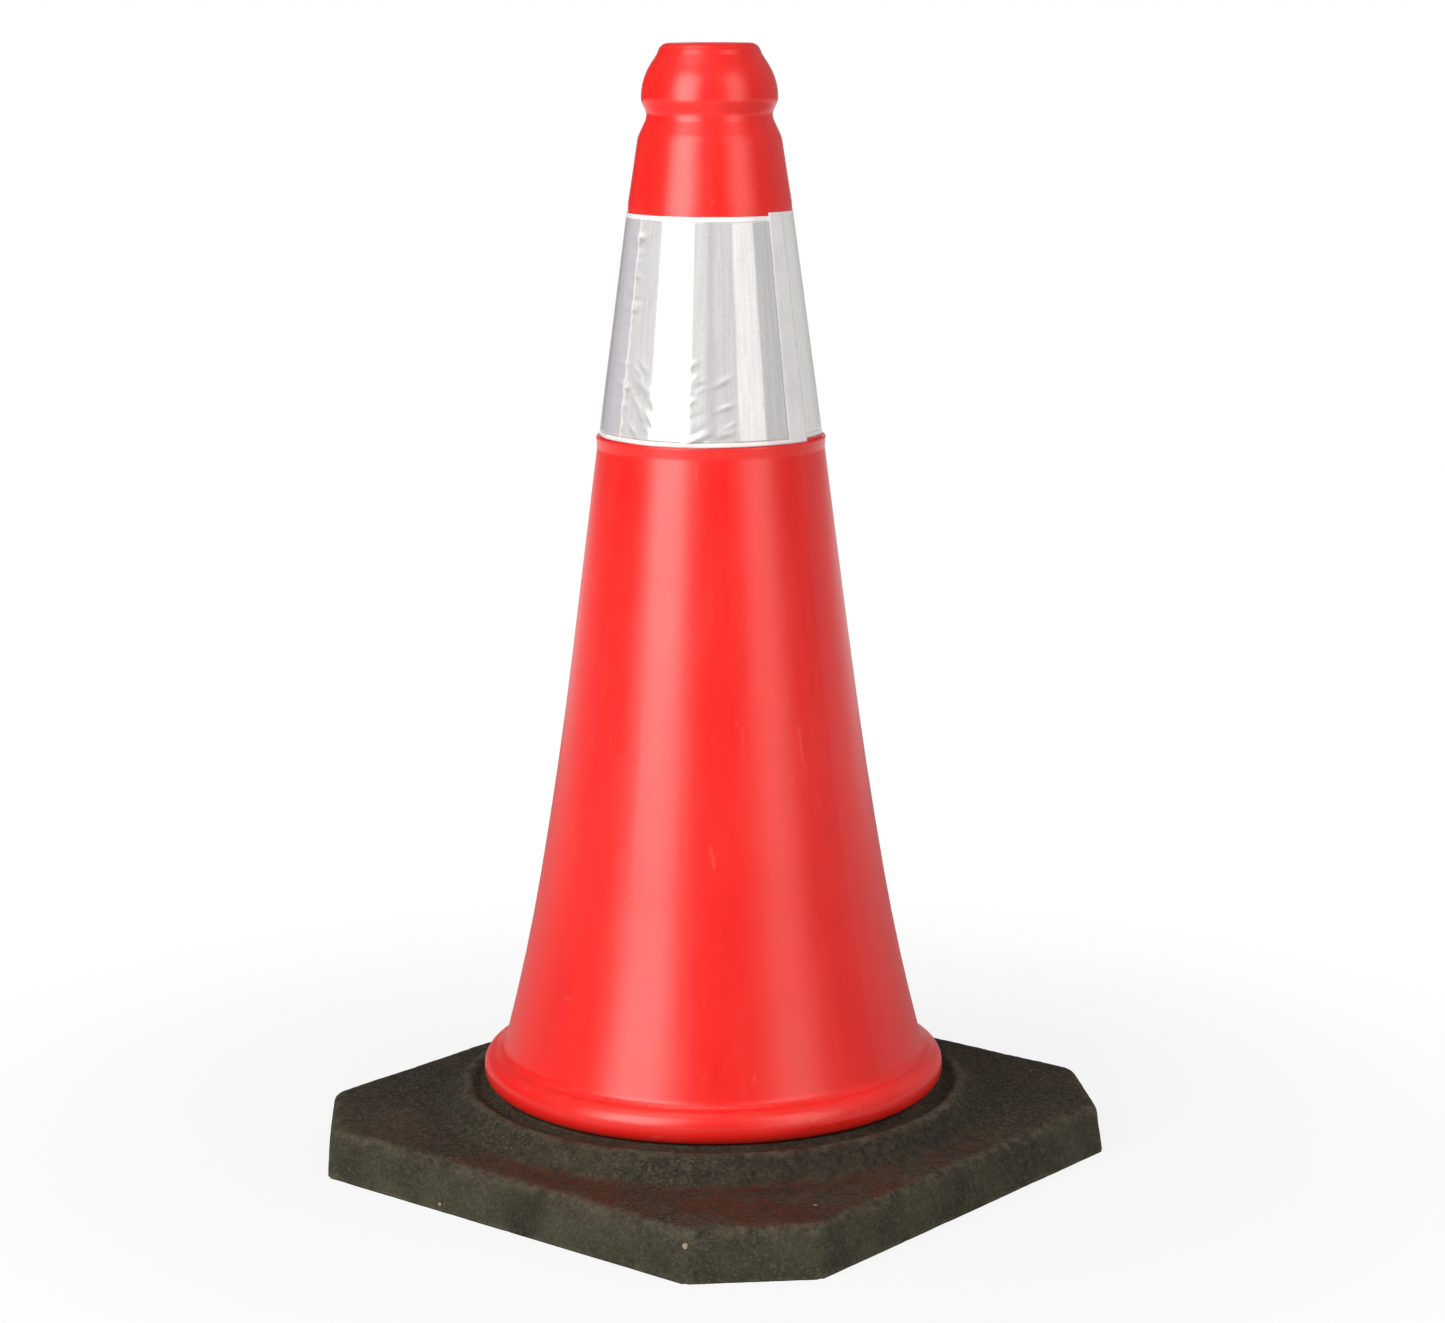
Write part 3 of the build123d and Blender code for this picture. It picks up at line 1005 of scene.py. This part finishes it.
@dataclass
class Studio:
    """Pale floor, white surroundings, softboxes and the camera."""

    floor_radius: float = 6.0
    floor_fade: Span = (0.28, 0.75)  # metres from the axis over which the paper turns white
    floor_glow: float = 0.85  # its share of white near the object
    mirror_fade: Span = (1.3, 2.6)  # the same in reflections, where the near floor stays paper
    room_level: float = 0.09
    ceiling_level: float = 0.16
    reflector_bearing: float = 130.0
    reflector_level: float = 0.22
    reflector_spread: Span = (0.72, 0.95)  # cosines from its bearing, from outer to full
    backdrop_spread: Span = (0.94, 0.985)
    wash_bearing: float = 98.0
    wash_level: float = 0.54
    wash_spread: Span = (0.0, 0.95)
    boxes: tuple[Softbox, ...] = (
        Softbox("left_softbox", -41.0, 1.6, 1.05, 1.07, 1.8, 5.8, 0.5, (1.0, 0.99, 0.95)),
        Softbox("right_softbox", 45.0, 1.6, 1.05, 0.86, 1.8, 2.3, 0.5, (1.0, 0.98, 0.92)),
        Softbox("top_softbox", -75.0, 0.6, 2.2, 1.0, 0.8, 2.2, 0.1),
    )
    camera_distance: float = 2.292  # level, from the axis
    camera_height: float = 0.7776
    camera_pitch: float = -10.815
    camera_yaw: float = -0.18
    camera_roll: float = -0.2
    lens: float = 86.35

    def build(self) -> None:
        """Everything that isn't the object."""
        scene = bpy.context.scene
        scene.view_settings.view_transform = "Standard"
        for box in self.boxes:
            box.build()
        self._world(scene)
        self._floor()
        self._camera(scene)

    def _camera(self, scene: bpy.types.Scene) -> None:
        """The main view."""
        data = bpy.data.cameras.new("main_view")
        data.lens = self.lens
        camera = bpy.data.objects.new("main_view", data)
        scene.collection.objects.link(camera)
        place = Matrix.Translation(studio_place(0.0, self.camera_distance, self.camera_height))
        heading = Matrix.Rotation(math.radians(FRONT + 90.0 + self.camera_yaw), 4, "Z")
        pitch = Matrix.Rotation(math.radians(90.0 + self.camera_pitch), 4, "X")
        roll = Matrix.Rotation(math.radians(self.camera_roll), 4, "Z")
        camera.matrix_world = place @ heading @ pitch @ roll
        scene.camera = camera

    @staticmethod
    def _mirrored(tree: Tree) -> bpy.types.NodeSocket:
        """1 for glossy and transmission rays."""
        path = tree.add("LightPath").outputs
        return tree.math("MAXIMUM", path["Is Glossy Ray"], path["Is Transmission Ray"])

    def _world(self, scene: bpy.types.Scene) -> None:
        """A white backdrop, with a dimmer room to the front and sides of the object."""
        world = bpy.data.worlds.new("studio")
        world.use_nodes = True
        scene.world = world
        tree = Tree(world.node_tree)
        direction = tree.add("TexCoord").outputs["Generated"]
        path = tree.add("LightPath").outputs

        def toward(bearing: float) -> bpy.types.NodeSocket:
            """How near a ray's direction is to a bearing from the main view's, from -1 to 1."""
            inputs = {0: direction, 1: studio_place(bearing, 1.0, 0.0)}
            return tree.add("VectorMath", inputs, operation="DOT_PRODUCT").outputs["Value"]

        up = tree.add("SeparateXYZ", {0: direction}).outputs["Z"]
        ceiling = tree.ramp(up, 0.2, 0.9, 0.0, self.ceiling_level)
        facing = toward(self.reflector_bearing)
        reflector = tree.ramp(facing, *self.reflector_spread, 0.0, self.reflector_level)
        backdrop = tree.times(tree.ramp(toward(HALF_TURN), *self.backdrop_spread), self._mirrored(tree))
        wash = tree.ramp(toward(self.wash_bearing), *self.wash_spread, 0.0, self.wash_level)
        wash = tree.times(wash, path["Is Diffuse Ray"])
        level = tree.plus(tree.plus(ceiling, reflector), tree.plus(wash, self.room_level))
        shade = tree.math("MAXIMUM", tree.math("MAXIMUM", level, backdrop), path["Is Camera Ray"])
        colour = tree.add("CombineColor", {0: shade, 1: shade, 2: shade}).outputs[0]
        background = tree.add("Background", {"Color": colour, "Strength": 1.0})
        sink = tree.add("OutputWorld")
        tree.put(sink.inputs["Surface"], background.outputs[0])

    def _floor(self) -> None:
        """A plain disc that takes the object's shadow and turns white away from it."""
        sides = 96
        ring = [studio_place(FULL_TURN * k / sides, self.floor_radius, 0.0) for k in range(sides)]
        mesh = bpy.data.meshes.new("studio_floor")
        mesh.from_pydata(ring, [], [list(range(sides))])
        floor = bpy.data.objects.new("studio_floor", mesh)
        bpy.context.scene.collection.objects.link(floor)
        material = bpy.data.materials.new("studio_floor")
        material.use_nodes = True
        tree = Tree(material.node_tree)
        paper = tree.add("BsdfDiffuse", {"Color": (0.6, 0.6, 0.6, 1.0)})
        glow = tree.add("Emission", {"Color": (1.0, 1.0, 1.0, 1.0), "Strength": 1.0})
        distance = tree.add("VectorMath", {0: tree.place()}, operation="LENGTH").outputs["Value"]
        seen = tree.times(tree.ramp(distance, *self.floor_fade, self.floor_glow, 1.0),
                         tree.add("LightPath").outputs["Is Camera Ray"])
        mirrored = tree.times(tree.ramp(distance, *self.mirror_fade), self._mirrored(tree))
        share = tree.math("MAXIMUM", seen, mirrored)
        mixed = tree.add("MixShader", {0: share, 1: paper.outputs[0], 2: glow.outputs[0]})
        sink = tree.add("OutputMaterial")
        tree.put(sink.inputs["Surface"], mixed.outputs[0])
        dress(floor, material)


def main() -> None:
    """Build the object and the studio, and report each piece."""
    logging.basicConfig(level=logging.INFO, format="%(name)s: %(message)s")
    Studio().build()
    effects = Effects()
    ConeBody().build(effects)
    RubberBase().build(effects)
    ReflectiveSleeve().build(effects)


if __name__ == "__main__":
    main()
